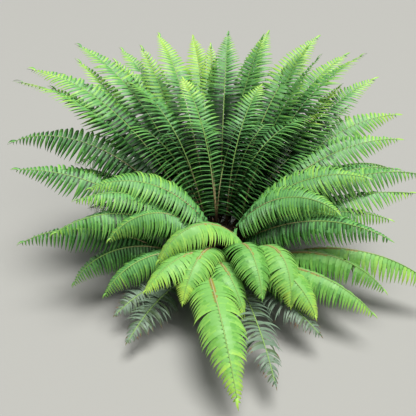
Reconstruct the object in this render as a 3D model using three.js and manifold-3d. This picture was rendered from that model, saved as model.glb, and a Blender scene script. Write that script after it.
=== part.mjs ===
// A large sword fern clump, in millimetres, +Z up, standing on level ground at the origin.
// A low woody rootstock carries eighty-five fronds. Each frond is a rib with a row of
// pointed leaflets down each side, and the blade is open to the rib between its leaflets.
// Azimuths and headings are in degrees, 0 along +X and 90 along +Y.

import * as THREE from "three";
import Module from "manifold-3d";

const wasm = await Module();
wasm.setup();

// Rootstock: a mound of old crowns grown together.
const ROOTSTOCK_RADIUS = 220;
const ROOTSTOCK_HEIGHT = 215;
const ROOTSTOCK_SIDES = 31;
const ROOTSTOCK_RINGS = 7;
const LOBES = 5; // crowns that bulge out of the mound
const LOBE_DEPTH = 0.05; // as a share of the radius
const SEAT_GAP = 0.35; // clear space between a rib's foot and the rootstock
const SINK = 12; // how far a rib's foot is carried into the mound before it is trimmed

// Frond proportions.
const STALK_SHARE = 0.05; // bare stalk below the first leaflets, as a share of the length
const STALK_STEPS = 2;
const LEAFLET_PITCH_SHARE = 0.053; // room for a pair of leaflets, as a share of the length
const RIB_WIDTH = { foot: 7.5, tip: 1.6 };
const RIB_DEPTH = { foot: 7, tip: 1.4 };
const LEAFLET_LENGTH = 112; // the longest leaflet of a full-sized frond
const LEAFLET_LENGTH_SHARE = 0.19; // and no longer than this share of the frond
const TIP_TAPER = 0.34; // last share of the blade, where it narrows to the tip
const TAPER_POWER = 0.85;
const BASE_WIDTH = 0.7; // the lowest leaflets, as a share of the longest
const BASE_TAPER = 0.2;
const FORWARD = { base: 4, tip: 54 }; // how far the leaflets lean towards the tip
const FORWARD_POWER = 2.4;
const SAG = 16; // how far low leaflets swing back down a rib that climbs
const LEAST_DROOP = 13; // how far the leaflets hang below the blade's plane
const TIP_RAISE = 0.9; // share of that hang which a climbing rib loses towards its tip
const FULL_RAISE_CLIMB = 0.5; // sine of the climb from which it loses that whole share
const ARCH_POWER = 1.6; // the curve tightens towards the tip
const CURVE_STEPS = 4; // short lengths that the curve is summed over between stations
const STEEPEST_FALL = -86;
const ROLL_RANGE = 44; // how far fronds roll to one side or the other
const ROLL_BIAS = { left: -20, right: 20 }; // these rows lean their blades towards the front
const BIAS_ONSET = 0.33; // share of the length over which that lean sets in
const SPLIT_ARCH = 112; // fronds that bend at least this far are in two lengths
const SPLIT_GAP = 0.4;

// Clearances.
const LEAFLET_CLEARANCE = 1.6; // between the leaflets of different fronds
const LEAFLET_TIP_CLEARANCE = 5; // ahead of a leaflet's tip
const GROUND_CLEARANCE = 6;
const LIFTS = [0, 8, -8, 16, -16]; // degrees a crowded leaflet turns aside before it is cut short
const SHORTENINGS = [1, 0.8, 0.6, 0.42]; // and the lengths it may be cut to

const FINISHES = {
  fern: { color: 0x4f8a36, roughness: 0.5 },
  young: { color: 0x86b545, roughness: 0.45 },
  old: { color: 0x5d6f4c, roughness: 0.6 },
  rootstock: { color: 0x4a3626, roughness: 0.95 },
};

const radians = THREE.MathUtils.degToRad;
const mix = THREE.MathUtils.lerp;

// The same number between 0 and 1 for the same n, spread as if by chance.
function chance(n) {
  const x = Math.sin(n * 12.9898) * 43758.5453;
  return x - Math.floor(x);
}

// One frond's driving sizes: its foot's azimuth and distance from the middle, the heading
// that it sets off in, its launch above the horizon, its length, how far it arches over
// in all, how far it sweeps sideways, and how far its leaflets hang where the rib is level.
function frond(footAzimuth, footRadius, heading, launch, length, arch, sweep, droop) {
  return { footAzimuth, footRadius, heading, launch, length, arch, sweep, droop };
}

// Tall fronds behind the heart, seen from their upper side.
const BACK = [
  frond(168, 120, 164, 61, 1150, 60, 2, 14),
  frond(158, 105, 157, 62, 1190, 62, 3, 14),
  frond(148, 128, 148, 59, 1100, 52, 3, 14),
  frond(139, 100, 140, 63, 1190, 52, 4, 12),
  frond(128, 125, 124, 63, 1120, 48, 5, 12),
  frond(112, 105, 112, 67, 1130, 48, 3, 12),
  frond(97, 125, 99, 67, 1120, 48, 2, 12),
  frond(82, 102, 86, 68, 1110, 47, 0, 12),
  frond(67, 125, 71, 67, 1170, 50, 0, 12),
  frond(54, 105, 54, 65, 1190, 52, -4, 12),
  frond(43, 128, 44, 61, 1160, 50, -4, 12),
  frond(32, 103, 38, 61, 1170, 52, -4, 14),
  frond(26, 140, 32, 57, 1080, 46, -4, 14),
];

// The innermost fronds, nearly upright. They rise several from one foot.
const HEART = [
  [
    frond(150, 62, 148, 70, 820, 84, 4, 14),
    frond(150, 62, 156, 68, 760, 90, 4, 14),
    frond(150, 62, 133, 74, 900, 68, 8, 12),
    frond(150, 62, 129, 74, 760, 98, 8, 12),
  ],
  [
    frond(95, 40, 101, 84, 700, 106, 10, 12),
    frond(95, 40, 114, 82, 790, 62, 4, 12),
    frond(95, 40, 68, 82, 700, 98, -6, 12),
  ],
  [
    frond(45, 62, 53, 78, 720, 92, -4, 12),
    frond(45, 62, 65, 82, 770, 66, -4, 12),
    frond(45, 62, 30, 74, 780, 82, -6, 12),
  ],
  [
    frond(15, 112, 31, 62, 760, 84, -4, 16),
    frond(15, 112, 61, 70, 740, 102, -6, 14),
    frond(15, 112, 50, 74, 780, 88, -4, 12),
  ],
];

const LEFT = [
  frond(180, 112, 171, 56, 1080, 84, 0, 24),
  frond(190, 140, 181, 43, 890, 47, 0, 30),
  frond(262, 62, 189, 60, 700, 88, 4, 20),
  frond(205, 104, 203, 57, 670, 74, 4, 38),
  frond(204, 152, 211, 52, 720, 80, 4, 44),
  frond(226, 104, 216, 60, 590, 110, 4, 46),
  frond(234, 204, 190, 45, 830, 76, 0, 40),
  frond(228, 186, 205, 42, 640, 108, 0, 44),
  frond(240, 176, 220, 40, 560, 100, 0, 44),
];

const RIGHT = [
  frond(20, 132, 22, 53, 1050, 60, -4, 20),
  frond(8, 108, 12, 50, 950, 60, -2, 24),
  frond(355, 132, 4, 49, 850, 66, 0, 30),
  frond(345, 88, 354, 56, 730, 74, -4, 24),
  frond(350, 156, 358, 49, 910, 64, 0, 38),
  frond(330, 80, 338, 60, 620, 98, -6, 26),
  frond(335, 122, 339, 46, 650, 78, -4, 42),
  frond(344, 168, 355, 42, 820, 50, 0, 42),
  frond(337, 148, 350, 39, 720, 62, 0, 40),
  frond(324, 128, 333, 40, 740, 64, 0, 38),
];

const FRONT = [
  frond(330, 176, 206, 60, 650, 120, 24, 40),
  frond(282, 160, 234, 42, 560, 86, -6, 22),
  frond(276, 140, 250, 44, 520, 114, 0, 22),
  frond(266, 188, 276, 50, 500, 126, 24, 24),
  frond(300, 150, 286, 52, 540, 122, -6, 22),
  frond(318, 178, 314, 52, 580, 134, -48, 22),
  frond(300, 194, 305, 44, 590, 108, 0, 26),
  frond(256, 200, 273, 36, 860, 94, 12, 20),
  frond(315, 204, 318, 31, 680, 68, 0, 38),
  frond(325, 204, 329, 40, 700, 90, 0, 42),
  frond(338, 206, 337, 32, 900, 78, 0, 42),
];

// Behind: some stand between the tall fronds and some arch over to the ground.
const REAR = [
  [
    frond(24, 172, 30, 62, 850, 44, -4, 20),
    frond(24, 172, 38, 64, 920, 40, -4, 20),
    frond(24, 172, 12, 52, 900, 84, 0, 30),
    frond(24, 172, 34, 46, 860, 92, 0, 34),
    frond(24, 172, 22, 26, 640, 62, 0, 30),
  ],
  [
    frond(56, 172, 49, 70, 1040, 36, -3, 16),
    frond(56, 172, 34, 72, 970, 34, -3, 16),
    frond(56, 172, 58, 48, 880, 92, 0, 34),
    frond(56, 172, 72, 62, 960, 90, 0, 24),
    frond(56, 172, 50, 28, 660, 66, 0, 30),
  ],
  [
    frond(90, 172, 62, 72, 1050, 34, 0, 16),
    frond(90, 172, 93, 72, 1000, 36, 2, 16),
    frond(90, 172, 82, 48, 880, 94, 0, 34),
    frond(90, 172, 102, 50, 860, 92, 0, 34),
    frond(90, 172, 90, 26, 640, 62, 0, 30),
  ],
  [
    frond(124, 172, 122, 70, 1020, 36, 3, 16),
    frond(124, 172, 137, 68, 1000, 40, 3, 16),
    frond(124, 172, 110, 60, 940, 90, 0, 24),
    frond(124, 172, 124, 47, 880, 94, 0, 34),
    frond(124, 172, 130, 28, 660, 66, 0, 30),
  ],
  [
    frond(156, 172, 141, 64, 1080, 42, 4, 18),
    frond(156, 172, 158, 62, 1010, 46, 4, 18),
    frond(156, 172, 148, 50, 900, 92, 0, 34),
    frond(156, 172, 168, 50, 900, 88, 0, 30),
    frond(156, 172, 158, 26, 640, 62, 0, 30),
  ],
];

// Old fronds that lie low round the foot.
const OLD = [
  [
    frond(238, 212, 228, 24, 470, 50, 0, 10),
    frond(238, 212, 244, 20, 540, 46, 0, 10),
  ],
  [
    frond(292, 212, 280, 20, 700, 44, 0, 10),
    frond(292, 212, 306, 22, 560, 46, 0, 10),
  ],
];

// Height of the mound's surface over a point this far from the middle.
function moundHeight(distance) {
  return ROOTSTOCK_HEIGHT * Math.sqrt(Math.max(0, 1 - (distance / ROOTSTOCK_RADIUS) ** 2));
}

// The rib's frame at each station: its place, its direction, its left side and its upper side.
function ribStations(f, steps, roll, bias) {
  const azimuth = radians(f.footAzimuth);
  const foot = new THREE.Vector3(
    f.footRadius * Math.cos(azimuth),
    f.footRadius * Math.sin(azimuth),
    moundHeight(f.footRadius),
  );
  const stations = [];
  const leafSteps = steps - STALK_STEPS;
  const place = foot.clone();
  let before = 0;
  for (let i = 0; i <= steps; i++) {
    const share =
      i <= STALK_STEPS
        ? (STALK_SHARE * i) / STALK_STEPS
        : mix(STALK_SHARE, 1, (i - STALK_STEPS) / leafSteps);
    for (let k = 0; k < CURVE_STEPS; k++) {
      const u = mix(before, share, (k + 0.5) / CURVE_STEPS);
      place.addScaledVector(ribDirection(f, u), ((share - before) / CURVE_STEPS) * f.length);
    }
    const along = ribDirection(f, share);
    const heading = radians(f.heading + f.sweep * share);
    const left = new THREE.Vector3(-Math.sin(heading), Math.cos(heading), 0);
    left.applyAxisAngle(along, roll * share + bias * Math.min(1, share / BIAS_ONSET));
    const up = new THREE.Vector3().crossVectors(along, left);
    stations.push({ share, place: place.clone(), along, left, up });
    before = share;
  }
  stations[0].place.addScaledVector(stations[0].along, -SINK);
  return stations;
}

function ribDirection(f, share) {
  const rise = radians(Math.max(STEEPEST_FALL, f.launch - f.arch * share ** ARCH_POWER));
  const heading = radians(f.heading + f.sweep * share);
  return new THREE.Vector3(
    Math.cos(rise) * Math.cos(heading),
    Math.cos(rise) * Math.sin(heading),
    Math.sin(rise),
  );
}

// The three corners of the rib's section: its upper edges and the keel below.
function ribCorners(station) {
  const halfWidth = mix(RIB_WIDTH.foot, RIB_WIDTH.tip, station.share) / 2;
  const depth = mix(RIB_DEPTH.foot, RIB_DEPTH.tip, station.share);
  return {
    left: station.place.clone().addScaledVector(station.left, halfWidth),
    right: station.place.clone().addScaledVector(station.left, -halfWidth),
    keel: station.place.clone().addScaledVector(station.up, -depth),
  };
}

// Leaflet length along the blade, as a share of the longest: a short taper at the
// base and a long one at the tip.
function bladeWidth(v) {
  const base = BASE_WIDTH + ((1 - BASE_WIDTH) * v) / BASE_TAPER;
  const tip = ((1 - v) / TIP_TAPER) ** TAPER_POWER;
  return Math.min(1, base, tip);
}

// Where a leaflet's tip lies. side is 1 on the left and -1 on the right.
function leafletTip(f, from, to, side, lift, shortening) {
  const share = (from.share + to.share) / 2;
  const v = (share - STALK_SHARE) / (1 - STALK_SHARE);
  const longest = Math.min(LEAFLET_LENGTH, LEAFLET_LENGTH_SHARE * f.length);
  const length = longest * bladeWidth(v) * shortening;
  const level = Math.hypot(from.along.x, from.along.y); // 1 where the rib lies level
  const climb = Math.max(0, from.along.z);
  const raised = Math.min(1, climb / FULL_RAISE_CLIMB);
  const hang = (LEAST_DROOP + f.droop * level) * (1 - TIP_RAISE * raised * v);
  const droop = radians(hang + lift);
  const lean = mix(FORWARD.base, FORWARD.tip, v ** FORWARD_POWER);
  const forward = radians(lean - SAG * climb * (1 - v));
  const root = from.place.clone().lerp(to.place, 0.5);
  return root
    .addScaledVector(from.left, side * length * Math.cos(droop) * Math.cos(forward))
    .addScaledVector(from.along, length * Math.cos(droop) * Math.sin(forward))
    .addScaledVector(from.up, -length * Math.sin(droop));
}

// The four faces of a leaflet that stands on the rib between two stations.
function leafletFaces(a, b, tip, side) {
  return side > 0
    ? [[a.left, b.left, tip], [b.keel, a.keel, tip], [a.keel, a.left, tip], [b.left, b.keel, tip]]
    : [[b.right, a.right, tip], [a.keel, b.keel, tip], [a.right, a.keel, tip], [b.keel, b.right, tip]];
}

// Clearance tests between leaflets and ribs of different fronds.
function boxOf(faces) {
  const box = new THREE.Box3();
  faces.flat().forEach((p) => box.expandByPoint(p));
  return box.expandByScalar(LEAFLET_CLEARANCE);
}

const ray = new THREE.Ray();
const met = new THREE.Vector3();

function edgeMeets(p, q, face) {
  const reach = p.distanceTo(q);
  ray.origin.copy(p);
  ray.direction.subVectors(q, p).normalize();
  return ray.intersectTriangle(...face, false, met) !== null && met.distanceTo(p) <= reach;
}

function facesMeet(one, other) {
  const crosses = (a, b) =>
    a.some((f) => b.some((g) => f.some((p, i) => edgeMeets(p, f[(i + 1) % 3], g))));
  return crosses(one, other) || crosses(other, one);
}

// A leaflet's faces, thickened and lengthened by the clearance.
function swollen(faces, up) {
  const tip = faces[0][2];
  const root = faces[0][0];
  const outward = new THREE.Vector3().subVectors(tip, root).normalize();
  return faces.flatMap((face) =>
    [1, -1].map((way) =>
      face.map((p) => {
        const moved = p.clone().addScaledVector(up, way * LEAFLET_CLEARANCE);
        return p === tip ? moved.addScaledVector(outward, LEAFLET_TIP_CLEARANCE) : moved;
      }),
    ),
  );
}

function underGroundOrInMound(p) {
  const spread = Math.hypot(p.x, p.y) / (ROOTSTOCK_RADIUS * (1 + LOBE_DEPTH) + GROUND_CLEARANCE);
  const height = p.z / (ROOTSTOCK_HEIGHT + GROUND_CLEARANCE);
  return p.z < GROUND_CLEARANCE || spread ** 2 + height ** 2 < 1;
}

// Everything placed so far that another frond's leaflets keep clear of.
const placed = [];

function isClear(owner, faces, box) {
  return !placed.some(
    (other) => other.owner !== owner && box.intersectsBox(other.box) && facesMeet(faces, other.faces),
  );
}

function ribFaces(a, b) {
  return [
    [a.right, b.right, b.left], [a.right, b.left, a.left],
    [a.left, b.keel, a.keel], [a.left, b.left, b.keel],
    [a.right, a.keel, b.keel], [a.right, b.keel, b.right],
  ];
}

// Chooses each leaflet's place: as it grows, turned aside, or cut short. One that finds
// no clear place is left out.
function placeLeaflets(f) {
  f.tips = f.stations.slice(0, -1).map((from, i) => {
    const to = f.stations[i + 1];
    const hasLeaflets = i >= STALK_STEPS && i < f.stations.length - 2;
    if (!hasLeaflets) return {};
    const found = {};
    for (const side of [1, -1]) {
      const tries = SHORTENINGS.flatMap((s) => LIFTS.map((lift) => [lift, s]));
      for (const [lift, shortening] of tries) {
        const tip = leafletTip(f, from, to, side, lift, shortening);
        if (underGroundOrInMound(tip)) continue;
        const faces = leafletFaces(f.corners[i], f.corners[i + 1], tip, side);
        const tested = swollen(faces, from.up);
        const box = boxOf(tested);
        if (!isClear(f, tested, box)) continue;
        placed.push({ owner: f, faces, box: boxOf(faces) });
        found[side] = tip;
        break;
      }
    }
    return found;
  });
}

// A length of frond as one closed skin, from one station to another. The last station
// of a frond closes to its tip.
function frondSkin(f, first, last) {
  const closesToTip = last === f.stations.length - 1;
  const points = [];
  const triangles = [];
  const index = new Map();
  const number = (p) => {
    if (!index.has(p)) {
      index.set(p, points.length);
      points.push(p);
    }
    return index.get(p);
  };
  const add = (...faces) => faces.forEach((face) => triangles.push(...face.map(number)));
  const corners = f.corners.map((c) => ({ ...c }));
  if (first > 0) {
    for (const key of ["left", "right", "keel"]) {
      corners[first][key] = corners[first][key].clone().addScaledVector(f.stations[first].along, SPLIT_GAP);
    }
  }
  add([corners[first].left, corners[first].keel, corners[first].right]);
  const runs = closesToTip ? last - 1 : last;
  for (let i = first; i < runs; i++) {
    const a = corners[i];
    const b = corners[i + 1];
    const [top, topToo, ...sides] = ribFaces(a, b);
    add(top, topToo);
    for (const side of [1, -1]) {
      const tip = f.tips[i][side];
      const bare = side > 0 ? sides.slice(0, 2) : sides.slice(2);
      add(...(tip ? leafletFaces(a, b, tip, side) : bare));
    }
  }
  const end = corners[runs];
  if (closesToTip) {
    const tip = f.stations[last].place;
    add([end.right, tip, end.left], [end.left, tip, end.keel], [end.keel, tip, end.right]);
  } else {
    add([end.left, end.right, end.keel]);
  }
  return solidFrom(points, triangles);
}

function solidFrom(points, triangles) {
  return new wasm.Manifold(
    new wasm.Mesh({
      numProp: 3,
      vertProperties: new Float32Array(points.flatMap((p) => p.toArray())),
      triVerts: new Uint32Array(triangles),
    }),
  );
}

// The mound, grown by a factor for the space that it needs round it. Its underside is flat.
function rootstockSolid(growth) {
  const points = [];
  const triangles = [];
  for (let ring = 0; ring < ROOTSTOCK_RINGS; ring++) {
    const rise = (ring / ROOTSTOCK_RINGS) * (Math.PI / 2);
    for (let i = 0; i < ROOTSTOCK_SIDES; i++) {
      const turn = (i / ROOTSTOCK_SIDES) * 2 * Math.PI;
      const lobe = 1 + LOBE_DEPTH * Math.cos(LOBES * turn) * Math.cos(rise) ** 2;
      const reach = ROOTSTOCK_RADIUS * Math.cos(rise) * lobe * growth;
      points.push(
        new THREE.Vector3(
          reach * Math.cos(turn),
          reach * Math.sin(turn),
          ROOTSTOCK_HEIGHT * Math.sin(rise) * growth,
        ),
      );
    }
  }
  const top = points.push(new THREE.Vector3(0, 0, ROOTSTOCK_HEIGHT * growth)) - 1;
  for (let i = 0; i < ROOTSTOCK_SIDES; i++) {
    const next = (i + 1) % ROOTSTOCK_SIDES;
    if (i > 0 && next > 0) triangles.push(0, next, i);
    for (let ring = 0; ring < ROOTSTOCK_RINGS - 1; ring++) {
      const low = ring * ROOTSTOCK_SIDES;
      const high = low + ROOTSTOCK_SIDES;
      triangles.push(low + i, low + next, high + next, low + i, high + next, high + i);
    }
    const last = (ROOTSTOCK_RINGS - 1) * ROOTSTOCK_SIDES;
    triangles.push(last + i, last + next, top);
  }
  return solidFrom(points, triangles);
}

function meshOf(name, solid, finish) {
  const made = solid.getMesh();
  const geometry = new THREE.BufferGeometry();
  geometry.setAttribute("position", new THREE.BufferAttribute(made.vertProperties, 3));
  geometry.setIndex(new THREE.BufferAttribute(made.triVerts, 1));
  geometry.computeVertexNormals();
  const material = new THREE.MeshStandardMaterial({ ...FINISHES[finish], metalness: 0 });
  const mesh = new THREE.Mesh(geometry, material);
  mesh.name = name;
  return mesh;
}

// Works out a frond's stations and rib, ahead of its leaflets.
function layOutRib(f, row, number) {
  const steps = STALK_STEPS + Math.round((1 - STALK_SHARE) / LEAFLET_PITCH_SHARE);
  const roll = radians((chance(number) - 0.5) * ROLL_RANGE);
  f.stations = ribStations(f, steps, roll, radians(ROLL_BIAS[row] ?? 0));
  f.corners = f.stations.map(ribCorners);
  for (let i = 0; i < f.stations.length - 1; i++) {
    const faces = ribFaces(f.corners[i], f.corners[i + 1]);
    placed.push({ owner: f, faces, box: boxOf(faces) });
  }
}

// The station where a frond that arches right over has turned half of its bend.
function bendStation(f) {
  const half = 0.5 ** (1 / ARCH_POWER);
  return f.stations.findIndex((s) => s.share >= half);
}

// Every node's name, fronds and finish. A tuft is several fronds in one node.
const rows = { back: BACK, heart: HEART, left: LEFT, right: RIGHT, front: FRONT, rear: REAR, old: OLD };
const rowFinish = { front: "young", old: "old" };
const nodes = [];
for (const [row, places] of Object.entries(rows)) {
  const finish = rowFinish[row] ?? "fern";
  places.forEach((place, i) => {
    const isTuft = Array.isArray(place);
    const name = isTuft ? `${row}_tuft_${i + 1}` : `${row}_frond_${String(i + 1).padStart(2, "0")}`;
    nodes.push({ name, row, fronds: isTuft ? place : [place], finish });
  });
}

// All the ribs are laid out first, so that no leaflet meets one.
let count = 0;
for (const node of nodes) {
  for (const f of node.fronds) {
    count += 1;
    layOutRib(f, node.row, count);
  }
}
nodes.forEach((node) => node.fronds.forEach(placeLeaflets));

const fern = new THREE.Group();
fern.add(meshOf("rootstock", rootstockSolid(1), "rootstock"));
const seat = rootstockSolid(1 + SEAT_GAP / ROOTSTOCK_HEIGHT);
for (const { name, fronds, finish } of nodes) {
  const [f] = fronds;
  const last = f.stations.length - 1;
  if (fronds.length === 1 && f.arch >= SPLIT_ARCH) {
    const bend = bendStation(f);
    fern.add(meshOf(`${name}_rise`, frondSkin(f, 0, bend).subtract(seat), finish));
    fern.add(meshOf(`${name}_fall`, frondSkin(f, bend, last), finish));
    continue;
  }
  const whole = fronds
    .map((each) => frondSkin(each, 0, each.stations.length - 1))
    .reduce((sum, each) => sum.add(each));
  fern.add(meshOf(name, whole.subtract(seat), finish));
}

export default fern;
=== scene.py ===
import math

import bpy
import numpy as np
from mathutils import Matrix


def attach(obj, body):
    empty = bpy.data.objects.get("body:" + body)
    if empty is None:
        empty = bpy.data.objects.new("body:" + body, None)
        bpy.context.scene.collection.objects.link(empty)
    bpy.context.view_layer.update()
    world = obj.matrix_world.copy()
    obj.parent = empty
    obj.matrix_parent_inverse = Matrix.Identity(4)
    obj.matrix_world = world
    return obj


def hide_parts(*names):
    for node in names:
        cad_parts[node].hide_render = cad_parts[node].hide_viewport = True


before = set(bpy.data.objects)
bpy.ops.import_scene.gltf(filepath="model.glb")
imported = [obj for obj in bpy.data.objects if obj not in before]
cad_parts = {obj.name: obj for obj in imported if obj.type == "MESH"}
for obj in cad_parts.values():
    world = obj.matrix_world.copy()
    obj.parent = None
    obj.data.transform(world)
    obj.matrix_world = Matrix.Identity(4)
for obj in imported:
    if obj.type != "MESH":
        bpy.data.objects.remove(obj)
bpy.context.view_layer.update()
bpy.ops.object.select_all(action="DESELECT")
print("frame loaded:", len(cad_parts), "nodes")


# The value at a share of the way between the two of a pair.
def mix(pair, share):
    return pair[0] + (pair[1] - pair[0]) * share


# 0 at the first of two levels and before it, 1 at the second and past it, even in between.
def fade(levels, value):
    return np.clip((value - levels[0]) / (levels[1] - levels[0]), 0, 1)


def unit(v):
    return v / np.linalg.norm(v, axis=-1, keepdims=True)


# Camera, floor and light.
camera = {
    "target": (0.0, 0.0, 0.22),
    "distance": 2.1,
    "lookDown": 30.0,  # degrees below the horizon
    "lens": 37.2,
    "sensorWidth": 36.0,
    "shift": (-0.0216, 0.0433),
}
studio = {
    "floorSize": 240.0,
    "floorShade": (0.315, 0.315, 0.304),
    "floorRoughness": 0.85,
    "skyShade": (0.90, 0.96, 1.0),
    "skyStrength": 0.11,
    "daylight": {
        "from": (0.5, 0.15, 3.0),
        "strength": 5.0,
        "softness": 36.0,  # how wide the light looks from the plant, in degrees
        "shade": (1.0, 0.99, 0.95),
    },
    "side": {
        "from": (1.6, -1.9, 2.0),
        "strength": 0.9,
        "softness": 35.0,
        "shade": (1.0, 0.97, 0.9),
    },
}


def aimAt(thing, target):
    offset = np.array(target) - np.array(thing.location)
    flat = math.hypot(offset[0], offset[1])
    tilt = math.pi / 2 + math.atan2(offset[2], flat)
    thing.rotation_euler = (tilt, 0, math.atan2(-offset[0], offset[1]))


def addCamera():
    down = math.radians(camera["lookDown"])
    x, y, z = camera["target"]
    reach = camera["distance"]
    place = (x, y - reach * math.cos(down), z + reach * math.sin(down))
    bpy.ops.object.camera_add(location=place)
    eye = bpy.context.object
    aimAt(eye, camera["target"])
    eye.data.sensor_width = camera["sensorWidth"]
    eye.data.lens = camera["lens"]
    eye.data.shift_x, eye.data.shift_y = camera["shift"]
    bpy.context.scene.camera = eye


def addLight(name, look):
    bpy.ops.object.light_add(type="SUN", location=look["from"])
    light = bpy.context.object
    light.name = name
    light.data.energy = look["strength"]
    light.data.angle = math.radians(look["softness"])
    light.data.color = look["shade"]
    aimAt(light, (0, 0, 0))


def addStudio():
    bpy.ops.mesh.primitive_plane_add(size=studio["floorSize"], location=(0, 0, 0))
    floor = bpy.context.object
    floor.name = "studio_floor"
    paint = newMaterial("floorPaint", studio["floorShade"], studio["floorRoughness"])
    floor.data.materials.append(paint)
    addLight("daylight", studio["daylight"])
    addLight("side_light", studio["side"])
    world = bpy.data.worlds.new("softSky")
    world.use_nodes = True
    sky = world.node_tree.nodes["Background"]
    sky.inputs["Color"].default_value = (*studio["skyShade"], 1)
    sky.inputs["Strength"].default_value = studio["skyStrength"]
    bpy.context.scene.world = world
    bpy.context.scene.view_settings.view_transform = "Standard"


# Materials.
specular = 0.25  # of every surface


def newMaterial(name, shade, roughness):
    material = bpy.data.materials.new(name)
    material.use_nodes = True
    surface = material.node_tree.nodes["Principled BSDF"]
    surface.inputs["Base Color"].default_value = (*shade, 1)
    surface.inputs["Roughness"].default_value = roughness
    surface.inputs["Specular IOR Level"].default_value = specular
    return material


def link(tree, source, output, target, entry):
    tree.links.new(source.outputs[output], target.inputs[entry])


def addNoise(tree, scale, detail, source, output):
    noise = tree.nodes.new("ShaderNodeTexNoise")
    noise.inputs["Scale"].default_value = scale
    noise.inputs["Detail"].default_value = detail
    link(tree, source, output, noise, "Vector")
    return noise


# Raises the surface by the height that the source puts out.
def addBump(tree, strength, depth, source, output):
    bump = tree.nodes.new("ShaderNodeBump")
    bump.inputs["Strength"].default_value = strength
    bump.inputs["Distance"].default_value = depth
    link(tree, source, output, bump, "Height")
    link(tree, bump, "Normal", tree.nodes["Principled BSDF"], "Normal")


# Colours the surface by stops, at the level that the source puts out.
def addColours(tree, stops, source, output):
    ramp = tree.nodes.new("ShaderNodeValToRGB")
    elements = ramp.color_ramp.elements
    while len(elements) < len(stops):
        elements.new(0.5)
    for element, (at, colour) in zip(elements, stops):
        element.position = at
        element.color = (*colour, 1)
    link(tree, source, output, ramp, "Fac")
    link(tree, ramp, "Color", tree.nodes["Principled BSDF"], "Base Color")


plainDetail = 2  # of a noise that needs no more

leafLook = {
    "fineness": 1.0,
    "dullest": 0.56,  # roughness
    "glossiest": 0.36,
    "relief": 0.12,
    "reliefDepth": 0.0006,
    "patchScale": 45,
    "patchDetail": 3,
    "patchLevels": (0.3, 0.7),  # the noise between which a patch goes from glossy to dull
    "poreScale": 420,
    "veinScale": 260,
}
leafSkinInputs = {"Fineness": "fineness", "Dullest": "dullest", "Glossiest": "glossiest"}


# Fine ribbing and dull patches of a leathery leaf: a roughness and a height.
def buildLeafSkin():
    look = leafLook
    group = bpy.data.node_groups.new("leafSkin", "ShaderNodeTree")
    for name in leafSkinInputs:
        group.interface.new_socket(name=name, in_out="INPUT", socket_type="NodeSocketFloat")
    for name in ("Roughness", "Height"):
        group.interface.new_socket(name=name, in_out="OUTPUT", socket_type="NodeSocketFloat")
    nodes = group.nodes
    inlet = nodes.new("NodeGroupInput")
    outlet = nodes.new("NodeGroupOutput")
    place = nodes.new("ShaderNodeTexCoord")
    spread = nodes.new("ShaderNodeVectorMath")
    spread.operation = "SCALE"
    link(group, place, "Object", spread, 0)
    link(group, inlet, "Fineness", spread, "Scale")
    patches = addNoise(group, look["patchScale"], look["patchDetail"], spread, 0)
    pores = nodes.new("ShaderNodeTexVoronoi")
    pores.inputs["Scale"].default_value = look["poreScale"]
    link(group, spread, 0, pores, "Vector")
    veins = addNoise(group, look["veinScale"], plainDetail, spread, 0)
    dull = nodes.new("ShaderNodeMapRange")
    dull.inputs["From Min"].default_value = look["patchLevels"][0]
    dull.inputs["From Max"].default_value = look["patchLevels"][1]
    link(group, patches, 0, dull, "Value")
    link(group, inlet, "Glossiest", dull, "To Min")
    link(group, inlet, "Dullest", dull, "To Max")
    relief = nodes.new("ShaderNodeMath")
    relief.operation = "ADD"
    link(group, pores, "Distance", relief, 0)
    link(group, veins, 0, relief, 1)
    link(group, dull, 0, outlet, "Roughness")
    link(group, relief, 0, outlet, "Height")
    return group


leafSkin = buildLeafSkin()

leafShades = {
    "leafShadow": (0.005, 0.021, 0.005),
    "leafDeep": (0.021, 0.080, 0.016),
    "leafMid": (0.060, 0.195, 0.038),
    "leafFresh": (0.118, 0.330, 0.060),
    "leafLime": (0.225, 0.475, 0.092),
    "leafYellow": (0.360, 0.580, 0.085),
    # leafSheen, and the pale and tender shades used with it, are painted sheen: the sky's reflection on the
    # leaflets.
    "leafSheen": (0.084, 0.250, 0.074),
    "leafPaleSheen": (0.142, 0.372, 0.096),
    "leafUnder": (0.115, 0.270, 0.070),
    "leafUnderPale": (0.190, 0.390, 0.098),
    "leafOldGrey": (0.135, 0.200, 0.140),
    "leafOldOlive": (0.080, 0.130, 0.060),
    "leafDry": (0.150, 0.095, 0.050),
    "leafFoot": (0.260, 0.225, 0.050),
    "leafTenderSheen": (0.174, 0.408, 0.100),
}
# Tone counts up this ladder, in half steps: between two shades lies their geometric mean.
# A tone holds the leaves' own differences together with painted light and shade.
leafLadder = ["leafShadow", "leafDeep", "leafMid", "leafFresh", "leafLime", "leafYellow"]
leafSteps = leafLadder[:1]
for darker, lighter in zip(leafLadder, leafLadder[1:]):
    between = darker + "To" + lighter.removeprefix("leaf")
    channels = zip(leafShades[darker], leafShades[lighter])
    leafShades[between] = tuple(math.sqrt(a * b) for a, b in channels)
    leafSteps += [between, lighter]


def leafMaterial(name, shade):
    material = newMaterial(name, shade, leafLook["dullest"])
    tree = material.node_tree
    skin = tree.nodes.new("ShaderNodeGroup")
    skin.node_tree = leafSkin
    for socket, value in leafSkinInputs.items():
        skin.inputs[socket].default_value = leafLook[value]
    addBump(tree, leafLook["relief"], leafLook["reliefDepth"], skin, "Height")
    link(tree, skin, "Roughness", tree.nodes["Principled BSDF"], "Roughness")
    return material


leafMaterials = {name: leafMaterial(name, shade) for name, shade in leafShades.items()}
leafSlot = {name: number for number, name in enumerate(leafShades)}
stepSlots = np.array([leafSlot[name] for name in leafSteps])


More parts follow.
